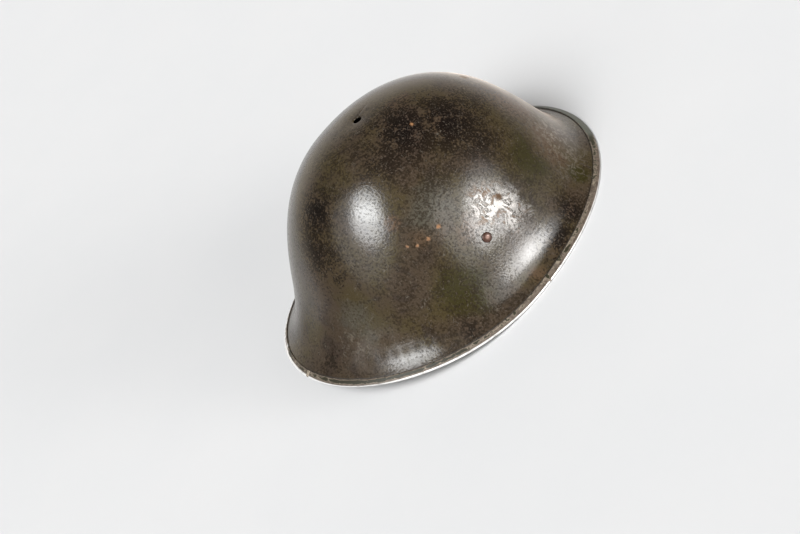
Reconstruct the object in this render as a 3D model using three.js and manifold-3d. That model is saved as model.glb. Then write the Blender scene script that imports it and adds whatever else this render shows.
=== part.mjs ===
// Steel combat helmet: a deep drawn shell with a flared brim, a strip folded over
// the rim, and one rivet through each side of the shell.
// Millimetres, +Z up. The front faces -Y and the wearer's left is +X. The sides and
// the rear of the rim rest on z = 0, and the front of the rim is lifted.

import * as THREE from 'three';
import { mergeVertices } from 'three/addons/utils/BufferGeometryUtils.js';
import Module from 'manifold-3d';

const wasm = await Module();
wasm.setup();

// Driving dimensions

const crownHeight = 140.5;
const wall = 1.1;

// Sections of the shell's outer face at the front, the side and the rear. A reach is
// measured out from the crown's axis, a height up from the rest plane, and a slope in
// degrees below level. The waist is where the dome turns into the flare of the brim.
// crownRun and wallRun are how far the dome keeps the level of the crown and the slope
// of the wall, as shares of the waist's reach and of the dome's height.
const sections = {
  front: {
    waistReach: 106, waistHeight: 63, wallSlope: 60.5, crownRun: 0.58, wallRun: 0.49,
    edgeReach: 146.3, brimSlope: 26.5,
  },
  side: {
    waistReach: 106, waistHeight: 40, wallSlope: 73.5, crownRun: 0.53, wallRun: 0.5,
    edgeReach: 128.3, brimSlope: 28,
  },
  rear: {
    waistReach: 114.5, waistHeight: 77.5, wallSlope: 64.5, crownRun: 0.6, wallRun: 0.5,
    edgeReach: 151.8, brimSlope: 28.5,
  },
};

// How far the flare keeps the slope of the wall and of the brim, as shares of its length
const flareRun = { wall: 0.56, brim: 0.29 };

// The rim leaves the rest plane at an angle from the front, and is highest at the front
const frontLift = { height: 19.5, startAngle: 87 };

// The crown hole lies behind the crown's axis, in a shallow dish
const crownHole = { radius: 3.5, setback: 15, dishRadius: 11, dishDepth: 1 };

// The strip's width is that of each flange. The fold's corners are directions in degrees
// above level, and its land spans landAngle to each side of straight down.
const strip = {
  width: 4.2,
  thickness: 0.5,
  gap: 0.2,
  foldBends: [30, 0, -35],
  landAngle: 20,
  jointAngle: -2,
  jointGap: 0.4,
};

// Each rivet sits at an angle from the front and a height on the outer face
const rivet = {
  angle: 89,
  height: 51.7,
  headRadius: 4,
  headHeight: 1.9,
  shankRadius: 2,
  holeGap: 0.3,
  seatGap: 0.2,
  tailRadius: 3.4,
  tailHeight: 1.1,
};

// Facets, and the halvings that find a rivet's seat
const turnSteps = 72;
const domeRings = 17;
const crownCrowding = 1.25;
const openRings = 7;
const roundSides = 20;
const headArcs = 4;
const seatHalvings = 40;

// Derived sizes

const foldRadius = wall / 2 + strip.gap + strip.thickness;
const landDrop = foldRadius * Math.cos(radians(strip.landAngle));
const rimMiddle = (sections.rear.edgeReach - sections.front.edgeReach) / 2;
const cutLength = 20;

function radians(degrees) {
  return THREE.MathUtils.degToRad(degrees);
}

// Unit vector in a section, the given number of degrees above level
function heading(degrees) {
  return new THREE.Vector2(Math.cos(radians(degrees)), Math.sin(radians(degrees)));
}

// Shell surface

// Height of the rim above the rest plane: level from the rear to the sides, then rising
function rimHeight(angle) {
  const start = Math.cos(radians(frontLift.startAngle));
  const share = Math.max(0, (Math.cos(radians(angle)) - start) / (1 - start));
  return frontLift.height * share * share;
}

// Section sizes at an angle from the front, blended from the side's and the nearer end's
function sectionAt(angle) {
  const along = Math.cos(radians(angle));
  const end = along > 0 ? sections.front : sections.rear;
  const blended = {};
  for (const size of Object.keys(end)) {
    blended[size] = THREE.MathUtils.lerp(sections.side[size], end[size], along * along);
  }
  return blended;
}

// Dome and flare curves of the outer face at an angle, as reach and height
function profileAt(angle) {
  const size = sectionAt(angle);
  const wallDirection = heading(-size.wallSlope);
  const brimDirection = heading(-size.brimSlope);
  const brimNormal = heading(90 - size.brimSlope);

  const edgeCentre = new THREE.Vector2(size.edgeReach, rimHeight(angle) + landDrop);
  const edge = edgeCentre.clone().addScaledVector(brimNormal, wall / 2);
  const apex = new THREE.Vector2(0, crownHeight);
  const waist = new THREE.Vector2(size.waistReach, size.waistHeight);
  const domeHeight = crownHeight - size.waistHeight;
  const flareLength = waist.distanceTo(edge);

  const crownEnd = new THREE.Vector2(size.crownRun * size.waistReach, crownHeight);
  const wallStart = waist.clone().addScaledVector(wallDirection, -size.wallRun * domeHeight);
  const wallEnd = waist.clone().addScaledVector(wallDirection, flareRun.wall * flareLength);
  const brimStart = edge.clone().addScaledVector(brimDirection, -flareRun.brim * flareLength);

  return {
    dome: new THREE.CubicBezierCurve(apex, crownEnd, wallStart, waist),
    flare: new THREE.CubicBezierCurve(waist, wallEnd, brimStart, edge),
    edgeCentre,
    brimDirection,
    brimNormal,
    brimSlope: size.brimSlope,
  };
}

// Unit normal out of the shell, from the direction of a profile away from the crown
function outward(tangent) {
  return new THREE.Vector2(-tangent.y, tangent.x);
}

// Point of a section, given as reach and height, turned to its angle from the front
function turned(point, angle) {
  const across = point.x * Math.sin(radians(angle));
  const along = -point.x * Math.cos(radians(angle)) - rimMiddle;
  return new THREE.Vector3(across, along, point.y);
}

// How far the crown is dished at a point, most at the crown hole
function dishAt(point) {
  const distance = Math.hypot(point.x, point.y - crownHole.setback + rimMiddle);
  return crownHole.dishDepth * Math.exp(-((distance / crownHole.dishRadius) ** 2));
}

// Point at a share of a profile curve's length, sunk below the outer face by depth
function sunkPoint(curve, place, depth) {
  return curve.getPointAt(place).addScaledVector(outward(curve.getTangentAt(place)), -depth);
}

// The same point in its place on the shell
function shellPoint(curve, place, depth, angle) {
  const placed = turned(sunkPoint(curve, place, depth), angle);
  placed.z -= dishAt(placed);
  return placed;
}

// Solids

function geometryFrom(points, faces) {
  const geometry = new THREE.BufferGeometry();
  geometry.setFromPoints(points);
  geometry.setIndex(faces.flat());
  geometry.computeVertexNormals();
  return geometry;
}

function solidFrom(geometry) {
  const plain = geometry.clone();
  plain.deleteAttribute('normal');
  plain.deleteAttribute('uv');
  const merged = mergeVertices(plain);
  const vertProperties = new Float32Array(merged.attributes.position.array);
  const triVerts = new Uint32Array(merged.index.array);
  return new wasm.Manifold(new wasm.Mesh({ numProp: 3, vertProperties, triVerts }));
}

function geometryOf(solid) {
  const mesh = solid.getMesh();
  const geometry = new THREE.BufferGeometry();
  geometry.setAttribute('position', new THREE.BufferAttribute(mesh.vertProperties, mesh.numProp));
  geometry.setIndex(new THREE.BufferAttribute(mesh.triVerts, 1));
  geometry.computeVertexNormals();
  return geometry;
}

// Round cutter of the given radius, centred on a point and along a direction
function roundCutter(radius, centre, direction) {
  const cutter = new THREE.CylinderGeometry(radius, radius, cutLength, roundSides);
  const up = new THREE.Vector3(0, 1, 0);
  cutter.applyQuaternion(new THREE.Quaternion().setFromUnitVectors(up, direction));
  cutter.translate(centre.x, centre.y, centre.z);
  return solidFrom(cutter);
}

function stepAngle(step) {
  return (step * 360) / turnSteps;
}

// Places of the rings along a dome's curve, closer together at the crown
function domePlaces() {
  return Array.from({ length: domeRings }, (_, k) => ((k + 1) / domeRings) ** crownCrowding);
}

// Places of the rings along a flare's curve: evenly down to the strip, then under its
// inner edge, its middle and its fold
function flarePlaces(flare) {
  const covered = strip.width / flare.getLength();
  const open = Array.from({ length: openRings }, (_, k) => ((k + 1) / openRings) * (1 - covered));
  return [...open, 1 - covered / 2, 1];
}

// The shell: the outer face from the crown to the rim, then the inner face back again
function shellGeometry() {
  const meridian = (angle, depth) => {
    const { dome, flare } = profileAt(angle);
    return [
      ...domePlaces().map((place) => shellPoint(dome, place, depth, angle)),
      ...flarePlaces(flare).map((place) => shellPoint(flare, place, depth, angle)),
    ];
  };
  const lines = Array.from({ length: turnSteps }, (_, step) => {
    const angle = stepAngle(step);
    return [...meridian(angle, 0), ...meridian(angle, wall).reverse()];
  });
  const crown = profileAt(0).dome;
  const points = [shellPoint(crown, 0, 0, 0), ...lines.flat(), shellPoint(crown, 0, wall, 0)];

  const outerApex = 0;
  const innerApex = points.length - 1;
  const ringCount = lines[0].length;
  const lastRing = ringCount - 1;
  const at = (ring, step) => 1 + (step % turnSteps) * ringCount + ring;
  const faces = [];
  for (let step = 0; step < turnSteps; step += 1) {
    faces.push([outerApex, at(0, step), at(0, step + 1)]);
    for (let ring = 0; ring < lastRing; ring += 1) {
      faces.push([at(ring, step), at(ring + 1, step), at(ring + 1, step + 1)]);
      faces.push([at(ring, step), at(ring + 1, step + 1), at(ring, step + 1)]);
    }
    faces.push([innerApex, at(lastRing, step + 1), at(lastRing, step)]);
  }
  return geometryFrom(points, faces);
}

function drilledShell() {
  const up = new THREE.Vector3(0, 0, 1);
  const crownCentre = new THREE.Vector3(0, crownHole.setback - rimMiddle, crownHeight);
  let solid = solidFrom(shellGeometry()).subtract(roundCutter(crownHole.radius, crownCentre, up));
  for (const angle of [rivet.angle, -rivet.angle]) {
    const { point, direction } = rivetSeat(angle);
    solid = solid.subtract(roundCutter(rivet.shankRadius + rivet.holeGap, point, direction));
  }
  return geometryOf(solid);
}

// Rim strip

// Section of the strip as a channel over the shell's edge, with a flat land underneath
function stripSection(angle) {
  const { flare, edgeCentre, brimDirection, brimNormal, brimSlope } = profileAt(angle);
  const [innerEdge, middle] = flarePlaces(flare).slice(-3);
  const onFold = (degrees) => edgeCentre.clone().addScaledVector(heading(degrees), foldRadius);
  const inChannel = (side) => edgeCentre.clone()
    .addScaledVector(brimDirection, strip.gap)
    .addScaledVector(brimNormal, side * (wall / 2 + strip.gap));

  const topFace = -strip.gap - strip.thickness;
  const underFace = wall + strip.gap + strip.thickness;
  const foldAngles = [
    90 - brimSlope,
    ...strip.foldBends,
    -90 + strip.landAngle,
    -90 - strip.landAngle,
    -90 - brimSlope,
  ];
  return [
    sunkPoint(flare, innerEdge, topFace),
    sunkPoint(flare, middle, topFace),
    ...foldAngles.map(onFold),
    sunkPoint(flare, middle, underFace),
    sunkPoint(flare, innerEdge, underFace),
    sunkPoint(flare, innerEdge, wall + strip.gap),
    sunkPoint(flare, middle, wall + strip.gap),
    inChannel(-1),
    inChannel(1),
    sunkPoint(flare, middle, -strip.gap),
    sunkPoint(flare, innerEdge, -strip.gap),
  ];
}

// The strip: its section carried round the rim, from one end of the butt joint to the other
function stripGeometry() {
  const halfJoint = THREE.MathUtils.radToDeg(strip.jointGap / 2 / sections.front.edgeReach);
  const start = strip.jointAngle + halfJoint;
  const end = strip.jointAngle + 360 - halfJoint;
  const steps = Array.from({ length: turnSteps }, (_, step) => stepAngle(step));
  const angles = [start, ...steps.filter((angle) => angle > start && angle < end), end];

  const outlines = angles.map(stripSection);
  const corners = outlines[0].length;
  const points = outlines.flatMap((outline, i) => outline.map((point) => turned(point, angles[i])));
  const at = (section, corner) => section * corners + (corner % corners);
  const faces = [];
  for (let section = 0; section < angles.length - 1; section += 1) {
    for (let corner = 0; corner < corners; corner += 1) {
      faces.push([at(section, corner), at(section, corner + 1), at(section + 1, corner + 1)]);
      faces.push([at(section, corner), at(section + 1, corner + 1), at(section + 1, corner)]);
    }
  }
  const lastSection = angles.length - 1;
  for (const [a, b, c] of THREE.ShapeUtils.triangulateShape(outlines[0], [])) {
    faces.push([at(0, a), at(0, b), at(0, c)]);
  }
  for (const [a, b, c] of THREE.ShapeUtils.triangulateShape(outlines[lastSection], [])) {
    faces.push([at(lastSection, a), at(lastSection, c), at(lastSection, b)]);
  }
  return geometryFrom(points, faces);
}

// Rivets

// Point on the shell's outer face where a rivet sits, and the direction out of the shell
function rivetSeat(angle) {
  const { dome } = profileAt(angle);
  let above = 0;
  let below = 1;
  for (let halving = 0; halving < seatHalvings; halving += 1) {
    const middle = (above + below) / 2;
    if (dome.getPoint(middle).y > rivet.height) {
      above = middle;
    } else {
      below = middle;
    }
  }
  const normal = outward(dome.getTangent(above));
  const point = turned(dome.getPoint(above), angle);
  const direction = turned(normal, angle).add(new THREE.Vector3(0, rimMiddle, 0)).normalize();
  return { point, direction };
}

// A rivet with a domed head outside, a shank through the wall and a flat tail inside
function rivetGeometry() {
  const tailTop = -wall - rivet.seatGap;
  const tailBottom = tailTop - rivet.tailHeight;
  const outline = [
    new THREE.Vector2(0, tailBottom),
    new THREE.Vector2(rivet.tailRadius, tailBottom),
    new THREE.Vector2(rivet.tailRadius, tailTop),
    new THREE.Vector2(rivet.shankRadius, tailTop),
    new THREE.Vector2(rivet.shankRadius, rivet.seatGap),
  ];
  for (let arc = 0; arc < headArcs; arc += 1) {
    const rise = heading((arc * 90) / headArcs);
    const height = rivet.seatGap + rivet.headHeight * rise.y;
    outline.push(new THREE.Vector2(rivet.headRadius * rise.x, height));
  }
  outline.push(new THREE.Vector2(0, rivet.seatGap + rivet.headHeight));
  return new THREE.LatheGeometry(outline, roundSides);
}

// Assembly

const paintedShell = new THREE.MeshStandardMaterial({ color: 0x3d3a31, roughness: 0.55, metalness: 0.2 });
const wornSteel = new THREE.MeshStandardMaterial({ color: 0x8d8a7c, roughness: 0.4, metalness: 0.8 });
const brownRivet = new THREE.MeshStandardMaterial({ color: 0x5a4030, roughness: 0.5, metalness: 0.4 });

const helmet = new THREE.Group();

const shell = new THREE.Mesh(drilledShell(), paintedShell);
shell.name = 'shell';
helmet.add(shell);

const rimStrip = new THREE.Mesh(stripGeometry(), wornSteel);
rimStrip.name = 'rim_strip';
helmet.add(rimStrip);

const rivets = { rivet_left: rivet.angle, rivet_right: -rivet.angle };
for (const [name, angle] of Object.entries(rivets)) {
  const { point, direction } = rivetSeat(angle);
  const mesh = new THREE.Mesh(rivetGeometry(), brownRivet);
  mesh.name = name;
  mesh.position.copy(point);
  mesh.quaternion.setFromUnitVectors(new THREE.Vector3(0, 1, 0), direction);
  helmet.add(mesh);
}

export default helmet;
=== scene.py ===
import math

import bpy
import numpy as np
from mathutils import Matrix, Vector


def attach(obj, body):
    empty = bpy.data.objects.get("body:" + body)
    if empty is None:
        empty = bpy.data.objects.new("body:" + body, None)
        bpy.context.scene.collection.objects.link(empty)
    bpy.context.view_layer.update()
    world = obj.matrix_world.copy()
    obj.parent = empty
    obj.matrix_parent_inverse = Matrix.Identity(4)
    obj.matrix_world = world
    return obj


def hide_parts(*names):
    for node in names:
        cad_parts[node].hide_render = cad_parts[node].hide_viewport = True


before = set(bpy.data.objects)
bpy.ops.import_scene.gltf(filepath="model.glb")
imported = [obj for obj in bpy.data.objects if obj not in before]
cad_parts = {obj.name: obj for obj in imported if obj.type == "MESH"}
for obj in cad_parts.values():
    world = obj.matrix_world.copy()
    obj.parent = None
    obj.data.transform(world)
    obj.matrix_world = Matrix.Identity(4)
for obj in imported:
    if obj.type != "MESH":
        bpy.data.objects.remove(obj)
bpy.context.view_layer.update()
print("frame loaded:", ", ".join(sorted(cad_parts)))

scene = bpy.context.scene

# camera: turned round the helmet and up in degrees, then rolled; metres
cameraSetup = {
    "azimuth": 72.46,
    "elevation": 34.47,
    "roll": 40.74,
    "aim": (0.0349, -0.0488, 0.0473),
    "distance": 1.512,
    "lens": 90.0,
    "sensor": 36.0,
    "clip": (0.05, 50.0),
}


def cameraAxes(setup):
    # back points from the aim to the camera, right is level across it, and roll turns right and up about back
    turn = math.radians(setup["azimuth"])
    rise = math.radians(setup["elevation"])
    roll = math.radians(setup["roll"])
    back = Vector((math.sin(turn) * math.cos(rise), -math.cos(turn) * math.cos(rise), math.sin(rise)))
    level = Vector((0, 0, 1)).cross(back).normalized()
    over = back.cross(level)
    right = math.cos(roll) * level - math.sin(roll) * over
    up = math.sin(roll) * level + math.cos(roll) * over
    return right, up, back


def addCamera(setup):
    right, up, back = cameraAxes(setup)
    data = bpy.data.cameras.new("camera")
    data.lens = setup["lens"]
    data.sensor_width = setup["sensor"]
    data.clip_start, data.clip_end = setup["clip"]
    camera = bpy.data.objects.new("camera", data)
    place = Vector(setup["aim"]) + back * setup["distance"]
    camera.matrix_world = Matrix.Translation(place) @ Matrix((right, up, back)).transposed().to_4x4()
    scene.collection.objects.link(camera)
    scene.camera = camera


addCamera(cameraSetup)
print("camera placed")

# shell: reaches out from the crown's axis and heights up from the rest plane in metres, slopes in degrees
# below level; the waist is where the dome turns into the flare; runs are how far a curve keeps its end slope
shellForm = {
    "crownHeight": 0.1405,
    "wall": 0.0011,
    "front": {"waistReach": 0.1060, "waistHeight": 0.0630, "wallSlope": 60.5, "crownRun": 0.58,
              "wallRun": 0.49, "edgeReach": 0.1463, "brimSlope": 26.5},
    "side": {"waistReach": 0.1060, "waistHeight": 0.0400, "wallSlope": 73.5, "crownRun": 0.53,
             "wallRun": 0.50, "edgeReach": 0.1283, "brimSlope": 28.0},
    "rear": {"waistReach": 0.1145, "waistHeight": 0.0775, "wallSlope": 64.5, "crownRun": 0.60,
             "wallRun": 0.50, "edgeReach": 0.1518, "brimSlope": 28.5},
    "flareWallRun": 0.56,
    "flareBrimRun": 0.29,
    "liftHeight": 0.0195,
    "liftStart": 87.0,
    "holeRadius": 0.0035,
    "holeSetback": 0.0150,
    "dishRadius": 0.0110,
    "dishDepth": 0.0010,
    "creaseStart": (-0.0030, 0.0160),
    "creaseEnd": (-0.0064, 0.0300),
    "creaseDepth": 0.0002,
    "creaseWidth": 0.0008,
    "creaseFade": 0.6,
    "waveDepth": 0.00007,
    "waveStart": 0.004,
    "waveRise": 0.02,
    "columns": 420,
    "domeRows": 100,
    "flareRows": 52,
    "innerStep": 3,
    "edgeRows": 4,
    "lipRows": 6,
}

# rim strip: a sheet folded over the shell's edge, its ends meeting in a butt joint
stripForm = {
    "width": 0.0042,
    "thickness": 0.0005,
    "gap": 0.0002,
    "landAngle": 20.0,
    "jointAngle": -2.0,
    "jointGap": 0.0004,
    "bevel": 0.00015,
    "edgeWave": 0.00012,
    "edgeRipples": ((23, 0), (41, 1), (67, 0)),  # number round the rim, shift
    "steps": 1100,
    "flangeRows": 6,
    "foldRows": 12,
}

rimMiddle = (shellForm["rear"]["edgeReach"] - shellForm["front"]["edgeReach"]) / 2
foldRadius = shellForm["wall"] / 2 + stripForm["gap"] + stripForm["thickness"]
landDrop = foldRadius * math.cos(math.radians(stripForm["landAngle"]))


def heading(slope):
    # unit vector of a section, slope degrees below level, as reach and height
    return np.stack([np.cos(np.radians(slope)), -np.sin(np.radians(slope))])


def rimHeight(angle):
    # zero from the rear to liftStart, then the square of how far the cosine has gone on to the front's
    start = math.cos(math.radians(shellForm["liftStart"]))
    share = np.maximum(0, (np.cos(angle) - start) / (1 - start))
    return shellForm["liftHeight"] * share**2


def sizesAt(angle):
    # each size goes from the side's to the nearer end's with the squared cosine of the angle from the front
    along = np.cos(angle)
    sizes = {}
    for name, side in shellForm["side"].items():
        end = np.where(along > 0, shellForm["front"][name], shellForm["rear"][name])
        sizes[name] = side + (end - side) * along**2
    return sizes


def sectionAt(angle):
    # control points of the dome's and the flare's cubic curves, and the rim's centre and directions
    size = sizesAt(angle)
    wallWay = heading(size["wallSlope"])
    brimWay = heading(size["brimSlope"])
    brimOut = np.stack([-brimWay[1], brimWay[0]])
    crown = shellForm["crownHeight"] + 0 * angle
    edgeCentre = np.stack([size["edgeReach"], rimHeight(angle) + landDrop])
    edge = edgeCentre + brimOut * shellForm["wall"] / 2
    waist = np.stack([size["waistReach"], size["waistHeight"]])
    flareLength = np.hypot(*(edge - waist))
    dome = (
        np.stack([0 * angle, crown]),
        np.stack([size["crownRun"] * size["waistReach"], crown]),
        waist - wallWay * size["wallRun"] * (crown - size["waistHeight"]),
        waist,
    )
    flare = (
        waist,
        waist + wallWay * shellForm["flareWallRun"] * flareLength,
        edge - brimWay * shellForm["flareBrimRun"] * flareLength,
        edge,
    )
    return {"dome": dome, "flare": flare, "edgeCentre": edgeCentre, "brimWay": brimWay, "brimOut": brimOut}


def curvePoint(controls, t):
    # cubic curve: each control weighted by its Bernstein term
    a, b, c, d = controls
    return a * (1 - t)**3 + 3 * b * t * (1 - t)**2 + 3 * c * t**2 * (1 - t) + d * t**3


def curveOut(controls, t):
    # unit normal out of the shell: the curve's slope turned a quarter turn up
    a, b, c, d = controls
    slope = (b - a) * (1 - t)**2 + 2 * (c - b) * t * (1 - t) + (d - c) * t**2
    slope = slope / np.hypot(*slope)
    return np.stack([-slope[1], slope[0]])


def turned(point, angle):
    # section point turned to its angle from the front
    return np.stack([point[0] * np.sin(angle), -point[0] * np.cos(angle) - rimMiddle, point[1]], axis=-1)


def solveRising(measure, target, halvings=40):
    # parameter from 0 to 1 where a rising measure meets its target, by halving the range
    low = np.zeros_like(target)
    high = np.ones_like(target)
    for _ in range(halvings):
        middle = (low + high) / 2
        under = measure(middle) < target
        low = np.where(under, middle, low)
        high = np.where(under, high, middle)
    return (low + high) / 2


def outerPoint(angleDegrees, height):
    # point of the outer face at an angle from the front and a height, and the normal there
    angle = np.array(math.radians(angleDegrees))
    section = sectionAt(angle)
    curve = section["dome"] if height > section["dome"][3][1] else section["flare"]
    t = solveRising(lambda s: -curvePoint(curve, s)[1], np.array(-height))
    point = turned(curvePoint(curve, t), angle)
    out = turned(curveOut(curve, t), angle) + np.array([0, rimMiddle, 0])
    return Vector(point), Vector(out)


def waviness(points):
    # slow swell of the pressed sheet: a sum of sine waves of a few lengths along fixed directions
    directions = np.array([[71, 23, 37], [-43, 97, 61], [113, -67, 29],
                           [31, 149, -83], [167, 53, 131]], float)
    phases = np.array([0.3, 1.7, 2.9, 4.1, 5.2])
    return np.sin(points @ directions.T + phases).sum(axis=-1) / len(phases)


def facesOfGrid(rows, columns, wrapRows, wrapColumns):
    # one quad for each cell of a grid of points numbered row by row
    row = np.arange(rows if wrapRows else rows - 1)[:, None]
    column = np.arange(columns if wrapColumns else columns - 1)[None, :]
    nextRow = (row + 1) % rows
    nextColumn = (column + 1) % columns
    corners = [row * columns + column, nextRow * columns + column,
               nextRow * columns + nextColumn, row * columns + nextColumn]
    return np.stack(np.broadcast_arrays(*corners), axis=-1).reshape(-1, 4)


def meshVolume(points, faces):
    # signed volume: one sixth of the triple product summed over each quad's two triangles
    a, b, c, d = (points[faces[:, k]] for k in range(4))
    return (np.einsum("ij,ij->", a, np.cross(b, c)) + np.einsum("ij,ij->", a, np.cross(c, d))) / 6


def addMesh(name, points, quads, triangles=None, attributes=None):
    # closed surface as a smooth mesh, turned so that its faces point out
    quads = quads if meshVolume(points, quads) > 0 else quads[:, ::-1]
    triangles = np.zeros((0, 3), int) if triangles is None else triangles
    loops = np.concatenate([quads.ravel(), triangles.ravel()])
    starts = np.concatenate([np.arange(len(quads)) * 4, len(quads) * 4 + np.arange(len(triangles)) * 3])
    mesh = bpy.data.meshes.new(name)
    mesh.vertices.add(len(points))
    mesh.vertices.foreach_set("co", points.astype(np.float32).ravel())
    mesh.loops.add(len(loops))
    mesh.loops.foreach_set("vertex_index", loops.astype(np.int32))
    mesh.polygons.add(len(starts))
    mesh.polygons.foreach_set("loop_start", starts.astype(np.int32))
    mesh.polygons.foreach_set("use_smooth", np.ones(len(starts), bool))
    for key, values in (attributes or {}).items():
        layer = mesh.attributes.new(key, "FLOAT", "POINT")
        layer.data.foreach_set("value", np.asarray(values, np.float32).ravel())
    mesh.update(calc_edges=True)
    mesh.validate()
    piece = bpy.data.objects.new(name, mesh)
    scene.collection.objects.link(piece)
    return piece


def domeGrid(angle, rows):
    # plan: straight lines from the crown hole's edge to the waist, spaced as the meridian's own curve;
    # height: the meridian through each plan point, at that point's reach
    section = sectionAt(angle)
    t = np.linspace(0, 1, rows)[:, None]
    reach = curvePoint([c[:, None, :] for c in section["dome"]], t)[0]
    share = reach / section["dome"][3][0]
    lipRadius = shellForm["holeRadius"] + shellForm["wall"] / 2
    across = np.sin(angle) * (lipRadius * (1 - share) + reach)
    along = -np.cos(angle) * (lipRadius * (1 - share) + reach) + shellForm["holeSetback"] * (1 - share)
    planAngle = np.arctan2(across, -along)
    planSection = sectionAt(planAngle)
    planReach = np.hypot(across, along)
    place = solveRising(lambda s: curvePoint(planSection["dome"], s)[0], planReach)
    return turned(curvePoint(planSection["dome"], place), planAngle)


def creaseAt(points):
    # groove in the crown: a bell curve over the distance in plan from a short line
    start = np.array(shellForm["creaseStart"])
    line = np.array(shellForm["creaseEnd"]) - start
    fromStart = points[..., :2] - start
    share = np.clip(fromStart @ line / (line @ line), 0, 1)
    distance = np.linalg.norm(fromStart - share[..., None] * line, axis=-1)
    depth = shellForm["creaseDepth"] * (1 - shellForm["creaseFade"] * share)
    return depth * np.exp(-(distance / shellForm["creaseWidth"])**2)


def outerFace(angle):
    # dome from the crown hole to the waist, then the flare to the edge, dished at the hole, creased behind it
    # and a little wavy
    dome = domeGrid(angle, shellForm["domeRows"])
    t = np.linspace(0, 1, shellForm["flareRows"] + 1)[1:, None]
    flare = turned(curvePoint([c[:, None, :] for c in sectionAt(angle)["flare"]], t), angle + 0 * t)
    points = np.concatenate([dome, flare])
    fromHole = np.hypot(points[..., 0], points[..., 1] + rimMiddle - shellForm["holeSetback"])
    points[..., 2] -= shellForm["dishDepth"] * np.exp(-(fromHole / shellForm["dishRadius"])**2)
    points[..., 2] -= creaseAt(points)
    fromEdge = np.linalg.norm(points - points[-1], axis=-1)
    start, rise = shellForm["waveStart"], shellForm["waveRise"]
    swell = np.clip((fromEdge - start) / rise, 0, 1) * np.clip((fromHole - start) / rise, 0, 1)
    points += gridNormals(points) * (shellForm["waveDepth"] * swell * waviness(points))[..., None]
    return points, fromEdge


def unit(vectors):
    return vectors / np.linalg.norm(vectors, axis=-1, keepdims=True)


def gridNormals(points):
    # cross product of the slopes along the rows and round the columns
    down = np.gradient(points, axis=0)
    around = np.roll(points, -1, axis=1) - np.roll(points, 1, axis=1)
    return unit(np.cross(down, around))


def halfRound(middle, start, outward, radius, rows):
    # half circle from the start direction through outward to the opposite of start, its ends left out
    turn = np.linspace(0, np.pi, rows + 2)[1:-1, None, None]
    return middle + radius * (np.cos(turn) * start + np.sin(turn) * outward)


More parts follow.
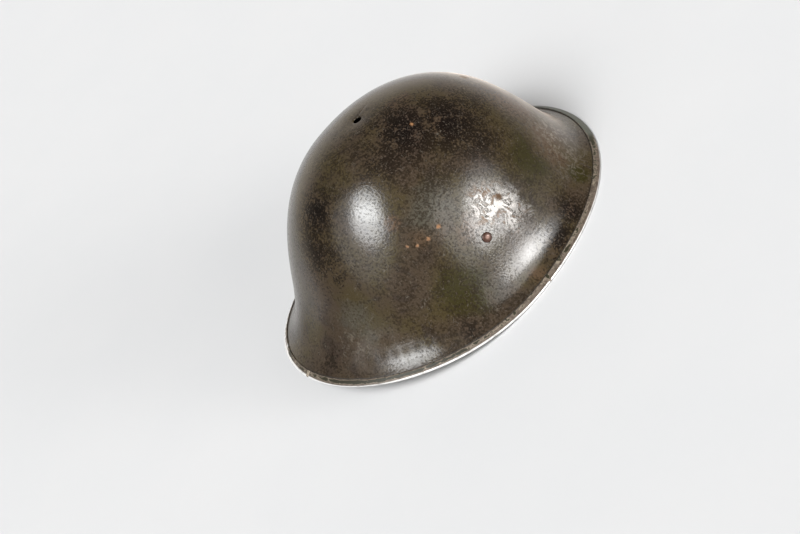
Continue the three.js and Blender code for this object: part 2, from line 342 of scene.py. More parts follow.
# finishes that lie on parts of the shell; each row is the angle from the front in degrees, the height and the
# spread in metres, and the strength
shellPatches = {
    "blackened": [
        (120, 0.128, 0.030, 1.0), (132, 0.112, 0.030, 1.0), (128, 0.092, 0.020, 0.7),
        (85, 0.128, 0.024, 0.6), (95, 0.106, 0.018, 0.25), (10, 0.120, 0.020, 1.0),
        (9, 0.100, 0.022, 0.7), (20, 0.090, 0.018, 0.6), (120, 0.010, 0.013, 0.9),
        (110, 0.009, 0.010, 0.85), (101, 0.008, 0.009, 0.7), (107, 0.009, 0.012, 0.9),
        (61, 0.013, 0.011, 0.6), (9, 0.031, 0.014, 0.45), (236, 0.110, 0.034, 0.8),
        (300, 0.060, 0.026, 0.6),
    ],
    "browned": [
        (92, 0.007, 0.010, 0.7), (160, 0.070, 0.030, 0.9), (66, 0.083, 0.012, 0.55),
        (60, 0.100, 0.007, 0.8), (90, 0.067, 0.010, 1.0), (128, 0.116, 0.022, 0.5),
        (145, 0.040, 0.034, 0.6), (10, 0.068, 0.040, 0.25), (160, 0.133, 0.018, 0.5),
        (250, 0.100, 0.018, 0.6), (85, 0.065, 0.016, 0.6), (77, 0.078, 0.015, 0.45),
    ],
    # where the band of grime and painted shade along the strip is taken away
    "clearOfGrimeAndShade": [
        (338, 0.022, 0.045, 1.0),
    ],
    # pale dust; the rear rows also paint the sheen of light along the ridge between dome and flare
    "dustyAndSheened": [
        (158, 0.052, 0.020, 0.4), (150, 0.024, 0.018, 0.4), (172, 0.100, 0.018, 0.6),
        (150, 0.034, 0.024, 1.0), (140, 0.020, 0.016, 0.6), (165, 0.030, 0.024, 0.8),
        (20, 0.042, 0.020, 0.4),
    ],
    "greened": [
        (22, 0.128, 0.016, 0.6), (131, 0.054, 0.022, 1.0), (69, 0.036, 0.026, 0.9),
        (64, 0.058, 0.020, 0.3), (136, 0.012, 0.010, 1.0), (210, 0.060, 0.034, 0.8),
        (285, 0.085, 0.030, 0.8),
    ],
    "greyed": [
        (166, 0.024, 0.028, 0.4), (190, 0.030, 0.034, 0.7), (24, 0.050, 0.030, 0.5),
        (80, 0.092, 0.026, 0.7),
    ],
    "hazed": [
        (168, 0.085, 0.040, 1.0), (160, 0.036, 0.040, 1.2), (205, 0.040, 0.050, 0.8),
    ],
    "matt": [
        (134, 0.060, 0.038, 1.0), (128, 0.018, 0.026, 0.9), (66, 0.022, 0.022, 0.6),
        (150, 0.050, 0.035, 0.8), (24, 0.0260, 0.010, 0.8), (30, 0.0272, 0.0074, 1.0),
        (34, 0.0262, 0.0074, 1.0), (38, 0.0252, 0.0074, 1.0), (42, 0.0240, 0.0074, 1.0),
        (46, 0.0222, 0.0068, 1.0), (50, 0.0190, 0.0068, 1.0), (52, 0.0155, 0.0095, 1.0),
        (32, 0.0335, 0.0115, 1.0), (38, 0.0325, 0.0115, 1.0), (44, 0.0305, 0.0115, 1.0),
        (52, 0.0270, 0.014, 1.0), (41, 0.0360, 0.016, 0.9), (350, 0.040, 0.032, 1.0),
        (6, 0.046, 0.022, 0.7), (140, 0.030, 0.034, 1.0), (8, 0.115, 0.024, 0.6),
        (120, 0.118, 0.040, 0.6), (228, 0.050, 0.040, 0.9),
    ],
    "scuffed": [
        (100, 0.066, 0.019, 0.9), (106, 0.055, 0.016, 0.8), (102, 0.045, 0.014, 0.75),
        (108, 0.047, 0.012, 0.6), (109, 0.038, 0.013, 0.42), (108, 0.066, 0.013, 0.55),
        (94, 0.046, 0.011, 0.45),
    ],
    "smooth": [
        (18, 0.062, 0.040, 0.8), (165, 0.060, 0.050, 0.5), (176, 0.128, 0.034, 0.9),
        (350, 0.128, 0.030, 0.6), (145, 0.036, 0.036, 0.8), (96, 0.020, 0.018, 0.9),
        (8, 0.040, 0.032, 0.8), (46, 0.111, 0.024, 0.5), (36, 0.0190, 0.014, 0.4),
    ],
}


def patchStrength(points, finish):
    # bell curves over the distance from each patch's middle, the strongest of them at each point
    strength = np.zeros(points.shape[:-1])
    for angle, height, spread, peak in shellPatches[finish]:
        middle, _ = outerPoint(angle, height)
        distance = np.linalg.norm(points - np.array(middle), axis=-1)
        strength = np.maximum(strength, peak * np.exp(-(distance / spread)**2))
    return strength


def addShell():
    # a closed ring of rows: outer face, round edge at the rim, inner face one wall deeper with fewer rows,
    # and round lip at the crown hole
    angle = np.arange(shellForm["columns"]) * 2 * np.pi / shellForm["columns"]
    outer, fromEdge = outerFace(angle)
    normal = gridNormals(outer)
    half = shellForm["wall"] / 2
    sunk = outer - normal * shellForm["wall"]
    inner = np.concatenate([sunk[:0:-shellForm["innerStep"]], sunk[:1]])
    edgeWay = unit(outer[-1] - outer[-2])
    holeWay = unit(outer[0] - outer[1])
    edge = halfRound(outer[-1] - normal[-1] * half, normal[-1], edgeWay, half, shellForm["edgeRows"])
    lip = halfRound(outer[0] - normal[0] * half, -normal[0], holeWay, half, shellForm["lipRows"])
    points = np.concatenate([outer, edge, inner, lip])

    inside = np.zeros(points.shape[:2])
    inside[len(outer) + len(edge):-len(lip)] = 1
    fromStrip = np.ones(points.shape[:2])  # far off, apart from the outer face
    fromStrip[:len(outer)] = fromEdge - stripForm["width"]
    layers = {"inside": inside, "fromStrip": fromStrip}
    for finish in shellPatches:
        layers[finish] = patchStrength(points, finish)
    quads = facesOfGrid(*points.shape[:2], wrapRows=True, wrapColumns=True)
    return addMesh("helmet_shell", points.reshape(-1, 3), quads, attributes=layers)


shell = addShell()
print("shell:", len(shell.data.polygons), "faces")


# the strip by the angle from the front: share of its paint that is left, and how bare its fold is
stripWear = {
    "angle": [-30, -24, -23, -21, -20, -10, 12, 28, 40, 56, 70, 82, 92.0, 92.3, 92.7, 93.0,
              105, 120, 134, 146, 160, 185, 215, 250, 285, 310],
    "paint": [0.40, 0.38, 0.40, 0.40, 0.40, 0.46, 0.70, 0.76, 0.72, 0.62, 0.46, 0.42, 0.42, 0.46, 0.46, 0.42,
              0.42, 0.42, 0.38, 0.44, 1.00, 1.00, 0.66, 0.38, 0.40, 0.42],
    # from -30 to -20 and at 310 the bare values are partly wear, partly a painted reflection of bright
    # surroundings
    "bare": [2.90, 2.50, 3.20, 3.20, 2.20, 1.70, 0.80, 0.85, 1.05, 1.05, 0.95, 0.90, 0.88, 0.00, 0.00, 0.88,
             0.85, 0.75, 0.60, 0.50, 0.00, 0.00, 0.30, 0.80, 0.90, 2.60],
}


def stripFlange(section, away, lift):
    # points beside the flare, away metres back from the edge and lifted off the outer face
    t = solveRising(lambda s: -np.hypot(*(curvePoint(section["flare"], s) - section["flare"][3])), -away)
    return curvePoint(section["flare"], t) + curveOut(section["flare"], t) * lift


def addStrip():
    # section: down the top flange, round the fold and back along the bottom flange, then the same one
    # thickness further in; it is carried round the rim from one end of the joint to the other
    form = stripForm
    halfJoint = form["jointGap"] / 2 / shellForm["front"]["edgeReach"]
    start = math.radians(form["jointAngle"])
    angle = np.linspace(start + halfJoint, start + 2 * np.pi - halfJoint, form["steps"])
    section = sectionAt(angle)
    wave = sum(np.sin(count * angle + shift) for count, shift in form["edgeRipples"])
    width = form["width"] + form["edgeWave"] * wave / len(form["edgeRipples"])

    def skin(depth, shorter):
        # one skin of the strip, depth in from its outside
        lift = form["gap"] + form["thickness"] - depth
        share = np.linspace(1, 0, form["flangeRows"])[:-1]
        top = [stripFlange(section, (width - shorter) * s, lift) for s in share]
        under = [stripFlange(section, (width - shorter) * s, -lift - shellForm["wall"]) for s in share[::-1]]
        turn = np.linspace(0, np.pi, form["foldRows"])
        fold = [section["edgeCentre"] + (foldRadius - depth)
                * (np.cos(b) * section["brimOut"] + np.sin(b) * section["brimWay"]) for b in turn]
        return np.stack(top + fold + under)

    outside = skin(0, form["bevel"])
    inside = skin(form["thickness"], form["bevel"])
    middle = form["gap"] + form["thickness"] / 2
    tipTop = stripFlange(section, width, middle)[None]
    tipUnder = stripFlange(section, width, -middle - shellForm["wall"])[None]
    loop = np.concatenate([tipTop, outside, tipUnder, inside[::-1]])
    loop[:, 1] = np.maximum(loop[:, 1], rimHeight(angle))
    points = turned(loop.transpose(1, 0, 2), angle)

    count = len(outside)
    corners, steps = points.shape[:2]
    quads = facesOfGrid(corners, steps, wrapRows=True, wrapColumns=False)
    first = 1 + np.arange(count - 1)
    second = corners - 1 - np.arange(count - 1)
    nearCap = np.stack([first, first + 1, second - 1, second], axis=-1) * steps
    farCap = nearCap[:, ::-1] + steps - 1
    tips = np.array([[0, 1, corners - 1], [count + 1, count + 2, count]]) * steps
    tips = np.concatenate([tips, tips[:, ::-1] + steps - 1])
    quads = np.concatenate([quads, nearCap, farCap])

    flange = np.linspace(0, 1, form["flangeRows"])[:-1]
    across = np.concatenate([flange, np.linspace(1, 2, form["foldRows"]), 2 + flange + flange[1]])
    across = np.concatenate([[0], across, [3], across[::-1]])[:, None] + 0 * angle
    paint = np.interp(np.degrees(angle), stripWear["angle"], stripWear["paint"], period=360)
    bare = np.interp(np.degrees(angle), stripWear["angle"], stripWear["bare"], period=360)
    fromJoint = np.minimum(angle - angle[0], angle[-1] - angle) * shellForm["front"]["edgeReach"]
    layers = {"across": across, "paintLeft": paint + 0 * across, "foldBare": bare + 0 * across,
              "fromJoint": fromJoint + 0 * across}
    return addMesh("rim_strip_folded", points.reshape(-1, 3), quads, tips, layers)


strip = addStrip()
print("rim strip:", len(strip.data.polygons), "faces")

# rivets: one through each side, a domed head outside and a flat tail inside
rivetForm = {
    "angle": 89.0,
    "height": 0.0517,
    "headRadius": 0.0040,
    "headHeight": 0.0019,
    "topStart": 0.03,
    "flatDepth": 0.03,
    "flatSpread": 0.35,
    "rimDrop": 0.00035,
    "rimTaper": (0.985, 0.94),
    "rimStep": 0.3,
    "shankRadius": 0.0020,
    "seatGap": 0.00005,
    "tailRadius": 0.0034,
    "tailHeight": 0.0011,
    "tailCorner": 0.00044,
    "tailRings": (0.5, 0.03),
    "dents": ((3, 0.00006, 0), (5, 0.000042, 2)),  # number round the head, depth, shift
    "dentLean": 0.05,
    "sides": 72,
    "headRows": 22,
    "cornerRows": 5,
}


def rivetProfile(form):
    # radius and height from the head's top to the tail's underside: a quarter ellipse with a flattened
    # top and a short upright rim, the shank, then a disc with rounded edges
    turn = np.linspace(form["topStart"], np.pi / 2, form["headRows"])
    crown = np.cos(turn) - form["flatDepth"] * np.exp(-(turn / form["flatSpread"])**2)
    seat, drop = form["seatGap"], form["rimDrop"]
    dome = form["headHeight"] - drop
    head = np.stack([form["headRadius"] * np.sin(turn), seat + drop + dome * crown])
    rim = np.stack([form["headRadius"] * np.array(form["rimTaper"]),
                    [seat + drop * form["rimStep"], seat]])
    tailTop = -shellForm["wall"] - seat
    tailLow = tailTop - form["tailHeight"]
    shank = np.array([[form["shankRadius"]] * 2, [seat, tailTop]])
    bend = np.linspace(0, np.pi / 2, form["cornerRows"])
    early = form["tailCorner"] * (1 - np.sin(bend))
    late = form["tailCorner"] * (1 - np.cos(bend))
    upper = np.stack([form["tailRadius"] - early, tailTop - late])
    lower = np.stack([form["tailRadius"] - late, tailLow + early])
    middle = np.stack([form["tailRadius"] * np.array(form["tailRings"]), [tailLow, tailLow]])
    return np.concatenate([head, rim, shank, upper, lower, middle], axis=1)


def addRivet(name, angleDegrees):
    # the profile spun about the shell's normal, with its two ends closed by a point on the axis
    form = rivetForm
    seat, out = outerPoint(angleDegrees, form["height"])
    radius, height = rivetProfile(form)
    spin = np.arange(form["sides"]) * 2 * np.pi / form["sides"]
    side = np.array(out.cross(Vector((0, 0, 1))).normalized())
    over = np.cross(np.array(out), side)
    lean = angleDegrees * form["dentLean"]
    uneven = sum(depth * np.sin(count * spin + shift + lean) for count, depth, shift in form["dents"])
    reach = radius[:, None] + uneven * (radius / form["headRadius"])[:, None]**2
    ring = reach[..., None] * (np.cos(spin)[:, None] * side + np.sin(spin)[:, None] * over)
    points = np.array(seat) + ring + height[:, None, None] * np.array(out)
    rows, sides = points.shape[:2]
    quads = facesOfGrid(rows, sides, wrapRows=False, wrapColumns=True)
    flip = meshVolume(points.reshape(-1, 3) - np.array(seat), quads) < 0
    poles = np.array(seat) + np.array([[height[0]], [height[-1]]]) * np.array(out)
    column = np.arange(sides)
    follow = (column + 1) % sides
    topPole = np.full(sides, rows * sides)
    top = np.stack([topPole, column, follow], axis=-1)
    low = np.stack([topPole + 1, (rows - 1) * sides + follow, (rows - 1) * sides + column], axis=-1)
    fans = np.concatenate([top, low])
    fans = fans[:, ::-1] if flip else fans
    every = np.concatenate([points.reshape(-1, 3), poles])
    fromAxis = np.concatenate([np.repeat(reach.mean(axis=1), sides), [0, 0]]) / form["headRadius"]
    return addMesh(name, every, quads, fans, {"fromAxis": fromAxis})


rivets = {"rivet_left": addRivet("rivet_head_left", rivetForm["angle"]),
          "rivet_right": addRivet("rivet_head_right", -rivetForm["angle"])}
print("rivets:", sum(len(piece.data.polygons) for piece in rivets.values()), "faces")


def addNode(tree, kind, inputs=None, **settings):
    # node with its settings, and each input set to a value or linked from a socket
    node = tree.nodes.new(kind)
    for name, value in settings.items():
        setattr(node, name, value)
    for socket, value in (inputs or {}).items():
        if isinstance(value, bpy.types.NodeSocket):
            tree.links.new(value, node.inputs[socket])
        else:
            node.inputs[socket].default_value = value
    return node


def startMaterial(name):
    material = bpy.data.materials.new(name)
    material.use_nodes = True
    tree = material.node_tree
    tree.nodes.clear()
    shader = addNode(tree, "ShaderNodeBsdfPrincipled")
    addNode(tree, "ShaderNodeOutputMaterial", {"Surface": shader.outputs[0]})
    place = addNode(tree, "ShaderNodeTexCoord").outputs["Object"]
    return material, tree, shader, place


def wire(tree, shader, links):
    for socket, value in links.items():
        tree.links.new(value, shader.inputs[socket])


def noise(tree, place, size, detail=4.0, roughness=0.55, distortion=0.0):
    inputs = {"Vector": place, "Scale": 1 / size, "Detail": detail,
              "Roughness": roughness, "Distortion": distortion}
    return addNode(tree, "ShaderNodeTexNoise", inputs).outputs[0]


def noises(tree, place, marks):
    # one noise for each kind of mark, by its name
    return {name: noise(tree, place, **setup) for name, setup in marks.items()}


def attribute(tree, name):
    return addNode(tree, "ShaderNodeAttribute", attribute_name=name).outputs["Fac"]


def maths(tree, operation, a, b=0.0, clamp=False):
    return addNode(tree, "ShaderNodeMath", {0: a, 1: b}, operation=operation, use_clamp=clamp).outputs[0]


def plus(tree, a, b):
    return maths(tree, "ADD", a, b)


def minus(tree, a, b):
    return maths(tree, "SUBTRACT", a, b)


def times(tree, a, b):
    return maths(tree, "MULTIPLY", a, b)


def larger(tree, a, b):
    return maths(tree, "MAXIMUM", a, b)


def awayFrom(tree, value, middle):
    # how far value lies from middle, to either side
    return maths(tree, "ABSOLUTE", minus(tree, value, middle))


def fade(tree, value, start, end, low=0.0, high=1.0):
    # value from start to end taken to low to high, smoothly and no further
    inputs = {"Value": value, "From Min": start, "From Max": end, "To Min": low, "To Max": high}
    return addNode(tree, "ShaderNodeMapRange", inputs, interpolation_type="SMOOTHSTEP").outputs[0]


def blend(tree, share, under, over):
    # colour under, covered by colour over as far as share says
    colours = {0: share}
    for socket, colour in ((6, under), (7, over)):
        colours[socket] = colour if isinstance(colour, bpy.types.NodeSocket) else (*colour, 1.0)
    return addNode(tree, "ShaderNodeMix", colours, data_type="RGBA").outputs[2]


def level(tree, share, under, over):
    # number under, covered by number over as far as share says
    return addNode(tree, "ShaderNodeMix", {0: share, 2: under, 3: over}, data_type="FLOAT").outputs[0]


# old paint of the shell: linear colours, then roughness, shine and metal of its layers, relief and hazy film
paintFinish = {
    "olive": (0.043, 0.032, 0.0140),
    "umber": (0.044, 0.031, 0.0200),
    "plum": (0.029, 0.0210, 0.0160),
    "dark": (0.0150, 0.0098, 0.0048),
    "black": (0.0040, 0.0028, 0.0022),
    "green": (0.025, 0.0208, 0.0058),
    "grey": (0.056, 0.050, 0.037),
    "brown": (0.068, 0.042, 0.024),
    "ash": (0.042, 0.0275, 0.0190),
    "tan": (0.090, 0.068, 0.051),
    # dust, also the colour of the painted sheen on the rear ridge
    "dustAndSheen": (0.185, 0.155, 0.118),
    "scratch": (0.110, 0.094, 0.074),
    "bare": (0.42, 0.395, 0.37),
    "worn": (0.140, 0.132, 0.122),
    "stain": (0.105, 0.068, 0.044),
    "rust": (0.24, 0.118, 0.052),
    # grime along the strip, also painted shade: the shadow in the gap under the strip's edge
    "grimeAndGapShade": (0.010, 0.0075, 0.005),
    "lining": (0.030, 0.027, 0.018),
    "roughness": 0.19,
    "pitRoughness": 0.27,
    "wornRoughness": 0.36,
    "rustRoughness": 0.75,
    "liningRoughness": 0.62,
    "shine": 0.50,
    "pitShine": 0.28,
    "dullShine": 0.05,
    "mattShine": 0.06,
    "bareMetal": 0.45,
    "wornMetal": 0.2,
    "relief": 0.8,
    "reliefDepth": 0.00016,
    "film": 0.75,
    "thinFilm": 0.1125,
    "filmRoughness": 0.26,
    "filmTint": (1.0, 0.84, 0.70, 1.0),
    "grimeAndGapShadeWidth": 0.0014,
}

# noises that the paint's marks are cut from; each noise runs from 0 to 1 round 0.5, and sizes are in metres
paintMarks = {
    "cloud": {"size": 0.045, "detail": 3},
    "patch": {"size": 0.018, "detail": 5, "roughness": 0.6, "distortion": 0.6},
    "blotch": {"size": 0.0095, "detail": 3, "roughness": 0.6},
    "mottle": {"size": 0.0042, "detail": 5, "roughness": 0.66, "distortion": 0.9},
    "grain": {"size": 0.0017, "detail": 1, "roughness": 0.5},
    "fleck": {"size": 0.0015, "detail": 2, "roughness": 0.5},
    "scratch": {"size": 0.0100, "detail": 2, "roughness": 0.5, "distortion": 1.2},
    "flake": {"size": 0.0055, "detail": 5, "roughness": 0.66, "distortion": 2.0},
    "island": {"size": 0.0090, "detail": 4, "roughness": 0.55, "distortion": 1.6},
    "ragged": {"size": 1 / 900, "detail": 3},
}

# bare spots where the paint is gone, with each one's radius, and how far it is from brown to rust
rustSpots = [
    {"angle": 126.1, "height": 0.1266, "radius": 0.0015, "rust": 1.0},
    {"angle": 77.1, "height": 0.0806, "radius": 0.0016, "rust": 0.9},
    {"angle": 69.8, "height": 0.0793, "radius": 0.0017, "rust": 0.7},
    {"angle": 63.7, "height": 0.0802, "radius": 0.0011, "rust": 0.9},
    {"angle": 59.6, "height": 0.0836, "radius": 0.0012, "rust": 0.8},
    {"angle": 106.3, "height": 0.0616, "radius": 0.0028, "rust": 0.1},
    {"angle": 172.0, "height": 0.0990, "radius": 0.0040, "rust": 0.2},
    {"angle": 231.0, "height": 0.0900, "radius": 0.0020, "rust": 0.6},
    {"angle": 318.0, "height": 0.0700, "radius": 0.0016, "rust": 0.8},
]


def groundCoat(tree, marks, finishes):
    # brown paint in clouds, plum where patch and cloud are both high, with green, grey and brown remains,
    # and ashen where it is blackened
    look = paintFinish
    colour = blend(tree, fade(tree, marks["cloud"], 0.42, 0.60), look["olive"], look["umber"])
    plum = plus(tree, marks["patch"], times(tree, marks["cloud"], 0.6))
    colour = blend(tree, fade(tree, plum, 0.84, 1.00, 0.0, 0.8), colour, look["plum"])
    for finish, tint in (("greened", "green"), ("greyed", "grey"), ("browned", "brown")):
        spread = plus(tree, finishes[finish], minus(tree, marks["patch"], 0.5))
        colour = blend(tree, fade(tree, spread, 0.25, 0.70), colour, look[tint])
    return blend(tree, times(tree, finishes["blackened"], 0.8), colour, look["ash"])


def mottling(tree, marks, finishes):
    # share of fine dark mottling: mottle and grain, more in the blotches of blackened patches and less where
    # it is smooth
    smoke = plus(tree, times(tree, minus(tree, marks["blotch"], 0.5), 0.8), 0.13)
    tone = plus(tree, times(tree, marks["mottle"], 0.5), times(tree, marks["grain"], 0.5))
    tone = plus(tree, tone, times(tree, finishes["blackened"], smoke))
    tone = plus(tree, tone, times(tree, minus(tree, marks["patch"], 0.5), 0.30))
    tone = minus(tree, tone, times(tree, finishes["smooth"], 0.08))
    return fade(tree, tone, 0.43, 0.60)


def paleMarks(tree, marks, finishes, colour):
    # tan flecks, thin broken scratches where a noise crosses its middle, and dust in dabs, which on the rear
    # ridge is also a painted sheen
    look = paintFinish
    pale = fade(tree, plus(tree, marks["fleck"], times(tree, finishes["blackened"], 0.03)), 0.59, 0.74)
    pale = times(tree, pale, fade(tree, finishes["smooth"], 0.0, 1.0, 0.55, 0.15))
    colour = blend(tree, pale, colour, look["tan"])
    line = fade(tree, awayFrom(tree, marks["scratch"], 0.5), 0.0075, 0.0020)
    line = times(tree, line, fade(tree, marks["mottle"], 0.44, 0.58, 0.0, 0.55))
    colour = blend(tree, line, colour, look["scratch"])
    # dust and painted sheen: pale dabs where these patches lie
    dustAndSheen = times(tree, finishes["dustyAndSheened"], fade(tree, marks["mottle"], 0.46, 0.66))
    return blend(tree, maths(tree, "MULTIPLY", dustAndSheen, 0.85, clamp=True), colour, look["dustAndSheen"])


def scuffs(tree, marks, finishes, colour):
    # paint rubbed thin, veins and islands of bare metal in it, stains between the islands and dark curled
    # paint along their edges
    look = paintFinish
    scuffed = finishes["scuffed"]
    rubbed = plus(tree, scuffed, times(tree, minus(tree, marks["mottle"], 0.5), -3.2))
    rubbed = times(tree, fade(tree, rubbed, 0.30, 0.90), fade(tree, scuffed, 0.12, 0.50))
    colour = blend(tree, times(tree, rubbed, 0.85), colour, look["worn"])

    within = fade(tree, scuffed, 0.25, 0.70)
    vein = minus(tree, awayFrom(tree, marks["flake"], 0.52), times(tree, scuffed, 0.012))
    vein = fade(tree, vein, 0.022, 0.004, 0.0, 0.8)
    sheet = fade(tree, marks["island"], 0.50, 0.54, 0.0, 0.56)
    sheet = times(tree, sheet, fade(tree, scuffed, 0.35, 0.85))
    bare = times(tree, larger(tree, vein, sheet), within)
    colour = blend(tree, bare, colour, look["bare"])
    stain = times(tree, fade(tree, marks["island"], 0.46, 0.38, 0.0, 0.85), within)
    colour = blend(tree, stain, colour, look["stain"])
    curl = fade(tree, awayFrom(tree, marks["island"], 0.49), 0.017, 0.006, 0.0, 0.95)
    curl = times(tree, curl, within)
    colour = blend(tree, curl, colour, look["dark"])
    bare = maths(tree, "SUBTRACT", bare, curl, clamp=True)
    return colour, rubbed, bare, larger(tree, curl, stain)


def rustLayer(tree, marks, place, colour):
    # each spot by the distance from its middle, its edge broken by noise
    total = None
    for spot in rustSpots:
        middle, _ = outerPoint(spot["angle"], spot["height"])
        away = addNode(tree, "ShaderNodeVectorMath", {0: place, 1: middle}, operation="DISTANCE")
        broken = times(tree, minus(tree, marks["ragged"], 0.5), spot["radius"] * 2.4)
        share = plus(tree, away.outputs["Value"], broken)
        share = fade(tree, share, spot["radius"] * 1.4, spot["radius"] * 0.2)
        tint = [a + (b - a) * spot["rust"] for a, b in zip(paintFinish["brown"], paintFinish["rust"])]
        colour = blend(tree, share, colour, tint)
        total = share if total is None else larger(tree, total, share)
    return colour, total


def wornPaint():
    # layers from the ground up: coats of paint, fine dark mottling, pale marks, scuffs down to metal, rust
    # spots, grime and painted shade in the gap along the strip, and a plain coat inside
    look = paintFinish
    material, tree, shader, place = startMaterial("worn_paint")
    marks = noises(tree, place, paintMarks)
    finishes = {finish: attribute(tree, finish) for finish in shellPatches}
    inside = attribute(tree, "inside")

    colour = groundCoat(tree, marks, finishes)
    mottled = mottling(tree, marks, finishes)
    shade = blend(tree, finishes["blackened"], look["dark"], look["black"])
    cover = times(tree, mottled, fade(tree, finishes["blackened"], 0.0, 1.0, 0.80, 0.95))
    colour = blend(tree, cover, colour, shade)
    colour = paleMarks(tree, marks, finishes, colour)
    colour, rubbed, bare, dull = scuffs(tree, marks, finishes, colour)
    colour, rust = rustLayer(tree, marks, place, colour)
    # painted shade: a dark band on the shell beside the strip, partly grime and partly the gap's shadow
    grimeAndGapShade = fade(tree, attribute(tree, "fromStrip"), look["grimeAndGapShadeWidth"], 0.0)
    grimeAndGapShade = times(tree, grimeAndGapShade, fade(tree, finishes["clearOfGrimeAndShade"], 0.0, 1.0, 0.85, 0.0))
    colour = blend(tree, grimeAndGapShade, colour, look["grimeAndGapShade"])
    colour = blend(tree, inside, colour, blend(tree, mottled, look["lining"], look["dark"]))

    pits = fade(tree, marks["grain"], 0.50, 0.68)
    pits = times(tree, pits, fade(tree, finishes["smooth"], 0.0, 1.0, 1.0, 0.3))
    roughness = fade(tree, pits, 0.0, 1.0, look["roughness"], look["pitRoughness"])
    roughness = level(tree, larger(tree, bare, rubbed), roughness, look["wornRoughness"])
    roughness = level(tree, larger(tree, rust, grimeAndGapShade), roughness, look["rustRoughness"])
    roughness = level(tree, inside, roughness, look["liningRoughness"])
    shine = fade(tree, plus(tree, pits, rust), 0.0, 1.0, look["shine"], look["pitShine"])
    shine = level(tree, dull, shine, look["dullShine"])
    shine = level(tree, finishes["matt"], shine, look["mattShine"])
    metallic = larger(tree, times(tree, bare, look["bareMetal"]), times(tree, rubbed, look["wornMetal"]))
    film = fade(tree, finishes["hazed"], 0.0, 1.0, look["thinFilm"], look["film"])

    height = times(tree, marks["grain"], fade(tree, finishes["smooth"], 0.0, 1.0, -0.6, -0.2))
    height = minus(tree, height, times(tree, bare, 0.4))
    bump = addNode(tree, "ShaderNodeBump",
                   {"Strength": look["relief"], "Distance": look["reliefDepth"], "Height": height})
    wire(tree, shader, {"Base Color": colour, "Roughness": roughness, "Metallic": metallic,
                        "Specular IOR Level": shine, "Sheen Weight": film, "Normal": bump.outputs[0]})
    shader.inputs["Sheen Roughness"].default_value = look["filmRoughness"]
    shader.inputs["Sheen Tint"].default_value = look["filmTint"]
    return material


# rim strip: paint left in patches on the flange, bare steel on the fold
stripFinish = {
    "paint": (0.020, 0.0175, 0.0075),
    "greyPaint": (0.076, 0.080, 0.064),
    "chip": (0.30, 0.245, 0.18),
    "dull": (0.125, 0.097, 0.074),
    "dark": (0.065, 0.047, 0.034),
    "steel": (0.80, 0.785, 0.76),
    "paintRoughness": 0.42,
    "dullRoughness": 0.48,
    "steelRoughness": 0.25,
    "dullMetal": 0.15,
    "steelMetal": 0.38,
    "relief": 0.6,
    "reliefDepth": 0.00012,
}

stripMarks = {
    "patch": {"size": 0.0060, "detail": 6, "roughness": 0.64, "distortion": 0.8},
    "streak": {"size": 0.0030, "detail": 4, "roughness": 0.6},
    "speck": {"size": 0.0013, "detail": 3, "roughness": 0.6},
}


def stripCover(tree, marks, across, fromJoint, paintLeft, foldBare):
    # how surely paint holds: patches raised by the share that is left, changed along the inner edge, lowered
    # towards the fold as far as that is bare, raised underneath, and gone at the joint
    cover = plus(tree, marks["patch"], times(tree, paintLeft, 0.55))
    innerEdge = larger(tree, minus(tree, 0.30, times(tree, paintLeft, 0.75)), -0.22)
    cover = plus(tree, cover, times(tree, fade(tree, across, 0.34, 0.06), innerEdge))
    outerWear = times(tree, fade(tree, across, 0.55, 1.20), foldBare)
    cover = minus(tree, cover, times(tree, outerWear, 0.45))
    cover = plus(tree, cover, fade(tree, across, 1.9, 2.3, 0.0, 0.45))
    cover = minus(tree, cover, fade(tree, fromJoint, 0.0022, 0.0006, 0.0, 0.7))
    return plus(tree, cover, times(tree, minus(tree, marks["speck"], 0.5), 0.12))


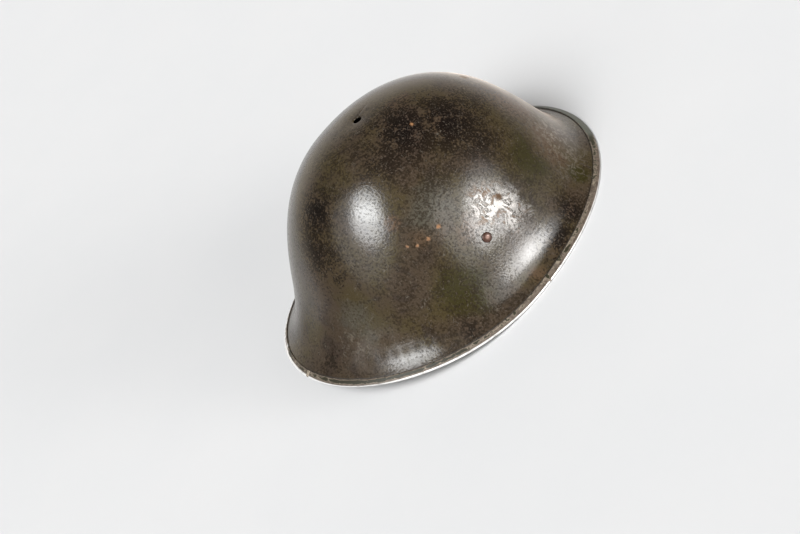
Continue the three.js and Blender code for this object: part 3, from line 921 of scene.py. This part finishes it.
def wornSteel():
    # paint where its cover passes a limit, a pale chipped edge round it, dull metal between, and bright steel
    # where the fold has been rubbed
    look = stripFinish
    material, tree, shader, place = startMaterial("worn_steel")
    marks = noises(tree, place, stripMarks)
    streak, speck = marks["streak"], marks["speck"]
    across = attribute(tree, "across")
    paintLeft = attribute(tree, "paintLeft")
    fromJoint = attribute(tree, "fromJoint")
    foldBare = attribute(tree, "foldBare")
    cover = stripCover(tree, marks, across, fromJoint, paintLeft, foldBare)
    painted = fade(tree, cover, 0.765, 0.785)
    chipped = times(tree, fade(tree, cover, 0.715, 0.760), fade(tree, cover, 0.785, 0.765))

    rubbed = fade(tree, plus(tree, across, times(tree, foldBare, 0.5)), 1.52, 1.70)
    rubbed = times(tree, rubbed, fade(tree, foldBare, 0.0, 0.2))
    rubbed = times(tree, rubbed, fade(tree, streak, 0.66, 0.52, 0.45, 1.0))
    metal = blend(tree, fade(tree, streak, 0.40, 0.62), look["dull"], look["dark"])
    metal = blend(tree, fade(tree, speck, 0.60, 0.74, 0.0, 0.6), metal, look["chip"])
    metal = blend(tree, rubbed, metal, look["steel"])
    metal = blend(tree, times(tree, chipped, 0.8), metal, look["chip"])
    metal = blend(tree, fade(tree, fromJoint, 0.0017, 0.0011), metal, look["chip"])
    coat = blend(tree, fade(tree, paintLeft, 0.78, 0.92), look["paint"], look["greyPaint"])
    coat = blend(tree, fade(tree, speck, 0.55, 0.75, 0.0, 0.5), coat, look["dark"])
    colour = blend(tree, painted, metal, coat)

    metallic = fade(tree, rubbed, 0.0, 1.0, look["dullMetal"], look["steelMetal"])
    metallic = times(tree, minus(tree, 1.0, painted), metallic)
    roughness = fade(tree, rubbed, 0.0, 1.0, look["dullRoughness"], look["steelRoughness"])
    roughness = level(tree, painted, roughness, look["paintRoughness"])
    height = plus(tree, times(tree, painted, 0.7), times(tree, streak, 0.4))
    bump = addNode(tree, "ShaderNodeBump",
                   {"Strength": look["relief"], "Distance": look["reliefDepth"], "Height": height})
    wire(tree, shader, {"Base Color": colour, "Roughness": roughness, "Metallic": metallic,
                        "Normal": bump.outputs[0]})
    return material


# rivets: brown oxide, rubbed on the crown, with painted shade round the edge of the head
rivetFinish = {
    "brown": (0.062, 0.028, 0.018),
    "rubbed": (0.105, 0.050, 0.032),
    # painted shade round the head's edge, where it meets the shell
    "edge": (0.020, 0.012, 0.009),
    "metal": 0.3,
    "smoothest": 0.26,
    "roughest": 0.44,
    "relief": 0.5,
    "reliefDepth": 0.00008,
    "speck": {"size": 0.0011, "detail": 5, "roughness": 0.6},
}


def brownOxide():
    look = rivetFinish
    material, tree, shader, place = startMaterial("brown_oxide")
    fromAxis = attribute(tree, "fromAxis")
    speck = noise(tree, place, **look["speck"])
    worn = plus(tree, fade(tree, fromAxis, 0.75, 0.1), minus(tree, speck, 0.5))
    colour = blend(tree, fade(tree, worn, 0.2, 0.8), look["brown"], look["rubbed"])
    # painted shade: the head darkened towards its edge
    colour = blend(tree, fade(tree, fromAxis, 0.92, 1.0), colour, look["edge"])
    roughness = fade(tree, speck, 0.3, 0.7, look["smoothest"], look["roughest"])
    bump = addNode(tree, "ShaderNodeBump",
                   {"Strength": look["relief"], "Distance": look["reliefDepth"], "Height": speck})
    wire(tree, shader, {"Base Color": colour, "Roughness": roughness, "Normal": bump.outputs[0]})
    shader.inputs["Metallic"].default_value = look["metal"]
    return material


shell.data.materials.append(wornPaint())
strip.data.materials.append(wornSteel())
rivetMetal = brownOxide()
for piece in rivets.values():
    piece.data.materials.append(rivetMetal)
print("finishes made")

pieces = {"shell": (shell, "shell_paint"), "rim_strip": (strip, "rim_steel")}
for node, piece in rivets.items():
    pieces[node] = (piece, "rivet_brown")
for node, (piece, slot) in pieces.items():
    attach(piece, "root")
    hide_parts(node)
print("pieces joined to the frame")

# studio: a pale floor, soft distant lights to both sides of the camera, and a dark sky with a pale backdrop
# behind the helmet; each light's way is right, up and back of the camera, its width in degrees
studio = {
    "floorReach": 12.0,
    "floorDrop": 0.0002,
    "floorColour": (0.594, 0.584, 0.577),
    "floorRoughness": 0.85,
    "fibreColour": (0.56, 0.56, 0.56),
    "fibreShare": 0.25,
    "fibre": {"size": 1 / 9, "detail": 3},
    "lights": {
        "left_light": {
            "way": (-0.60, -0.05, 0.80), "width": 28.0, "strength": 2.15, "tint": (0.95, 0.98, 1.0)},
        "left_upper_light": {
            "way": (-0.60, 0.17, 0.78), "width": 26.0, "strength": 1.65, "tint": (0.95, 0.98, 1.0)},
        "left_wide_light": {
            "way": (-0.70, -0.14, 0.70), "width": 54.0, "strength": 0.95, "tint": (0.97, 0.98, 1.0)},
        "right_light": {
            "way": (0.72, 0.26, 0.64), "width": 19.0, "strength": 1.15, "tint": (1.0, 1.0, 1.0)},
        "right_upper_light": {
            "way": (0.71, 0.38, 0.59), "width": 26.0, "strength": 0.5, "tint": (1.0, 1.0, 1.0)},
        "right_low_light": {
            "way": (0.69, 0.08, 0.72), "width": 20.0, "strength": 1.1, "tint": (1.0, 1.0, 1.0)},
        "right_wide_light": {
            "way": (0.60, 0.08, 0.80), "width": 46.0, "strength": 1.5, "tint": (1.0, 1.0, 0.98)},
    },
    "sky": (0.06, 0.06, 0.065),
    "backdrop": (1.0, 0.93, 0.86),
    "backdropStart": 0.06,
    "backdropFull": 0.74,
}


def addFloor():
    # square of four corners just under the rest plane
    reach = studio["floorReach"]
    corners = np.array([[-reach, -reach], [reach, -reach], [reach, reach], [-reach, reach]])
    points = np.column_stack([corners, np.full(4, -studio["floorDrop"])])
    mesh = bpy.data.meshes.new("floor")
    mesh.from_pydata(points.tolist(), [], [[0, 1, 2, 3]])
    floor = bpy.data.objects.new("floor", mesh)
    scene.collection.objects.link(floor)
    material, tree, shader, place = startMaterial("floor_paper")
    fibre = fade(tree, noise(tree, place, **studio["fibre"]), 0.3, 0.7, 0.0, studio["fibreShare"])
    wire(tree, shader, {"Base Color": blend(tree, fibre, studio["floorColour"], studio["fibreColour"])})
    shader.inputs["Roughness"].default_value = studio["floorRoughness"]
    mesh.materials.append(material)


def addLights():
    # each light shines back along its way from the helmet
    axes = Matrix(cameraAxes(cameraSetup)).transposed()
    for name, setup in studio["lights"].items():
        data = bpy.data.lights.new(name, "SUN")
        data.angle = math.radians(setup["width"])
        data.energy = setup["strength"]
        data.color = setup["tint"]
        light = bpy.data.objects.new(name, data)
        light.rotation_mode = "QUATERNION"
        light.rotation_quaternion = (axes @ Vector(setup["way"])).to_track_quat("Z", "Y")
        scene.collection.objects.link(light)


def addSky():
    # the backdrop grows with the cosine of the angle from the way the camera looks
    world = bpy.data.worlds.new("studio_sky")
    world.use_nodes = True
    tree = world.node_tree
    tree.nodes.clear()
    way = addNode(tree, "ShaderNodeTexCoord").outputs["Generated"]
    ahead = -cameraAxes(cameraSetup)[2]
    facing = addNode(tree, "ShaderNodeVectorMath", {0: way, 1: ahead}, operation="DOT_PRODUCT")
    share = fade(tree, facing.outputs["Value"], studio["backdropStart"], studio["backdropFull"])
    colour = blend(tree, share, studio["sky"], studio["backdrop"])
    glow = addNode(tree, "ShaderNodeBackground", {"Color": colour})
    addNode(tree, "ShaderNodeOutputWorld", {"Surface": glow.outputs[0]})
    scene.world = world


addFloor()
addLights()
addSky()
scene.view_settings.view_transform = "Standard"
print("studio set")
